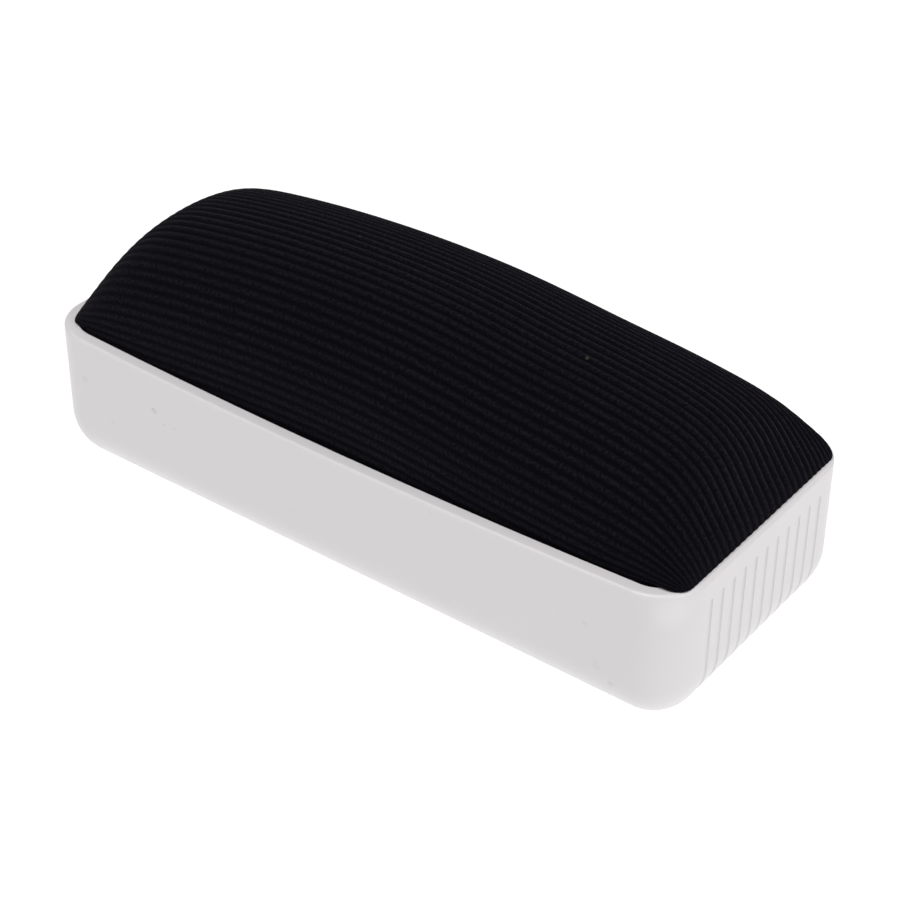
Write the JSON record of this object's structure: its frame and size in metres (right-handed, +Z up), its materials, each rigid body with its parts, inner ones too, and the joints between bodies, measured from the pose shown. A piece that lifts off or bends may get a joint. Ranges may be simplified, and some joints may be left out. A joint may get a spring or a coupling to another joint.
{
  "type": "whiteboard eraser",
  "caption": "Hand-held whiteboard eraser: a white moulded tray with finger grooves on its ends, and a crowned foam pad covered in black ribbed cloth.",
  "frame": {"origin": "centre of the flat base of the tray, on the surface that it stands on", "axes": "+X along the eraser's length, +Y across its width, +Z up from the base to the pad"},
  "size_m": [0.11, 0.0446, 0.0417],
  "materials": {
    "housing": "smooth injection-moulded white plastic, lightly marked by use",
    "cover_cloth": "black fine-ribbed pile cloth, ribs along the pad",
    "backing_board": "stiff grey-brown board",
    "foam_core": "open-cell foam",
    "mounting_tape": "double-sided foam tape"
  },
  "bodies": {
    "root": {"housing": "housing", "cover_cloth": "cover_cloth", "backing_board": "backing_board", "foam_core": "foam_core", "mounting_tape_front": "mounting_tape", "mounting_tape_rear": "mounting_tape"}
  },
  "joints": []
}
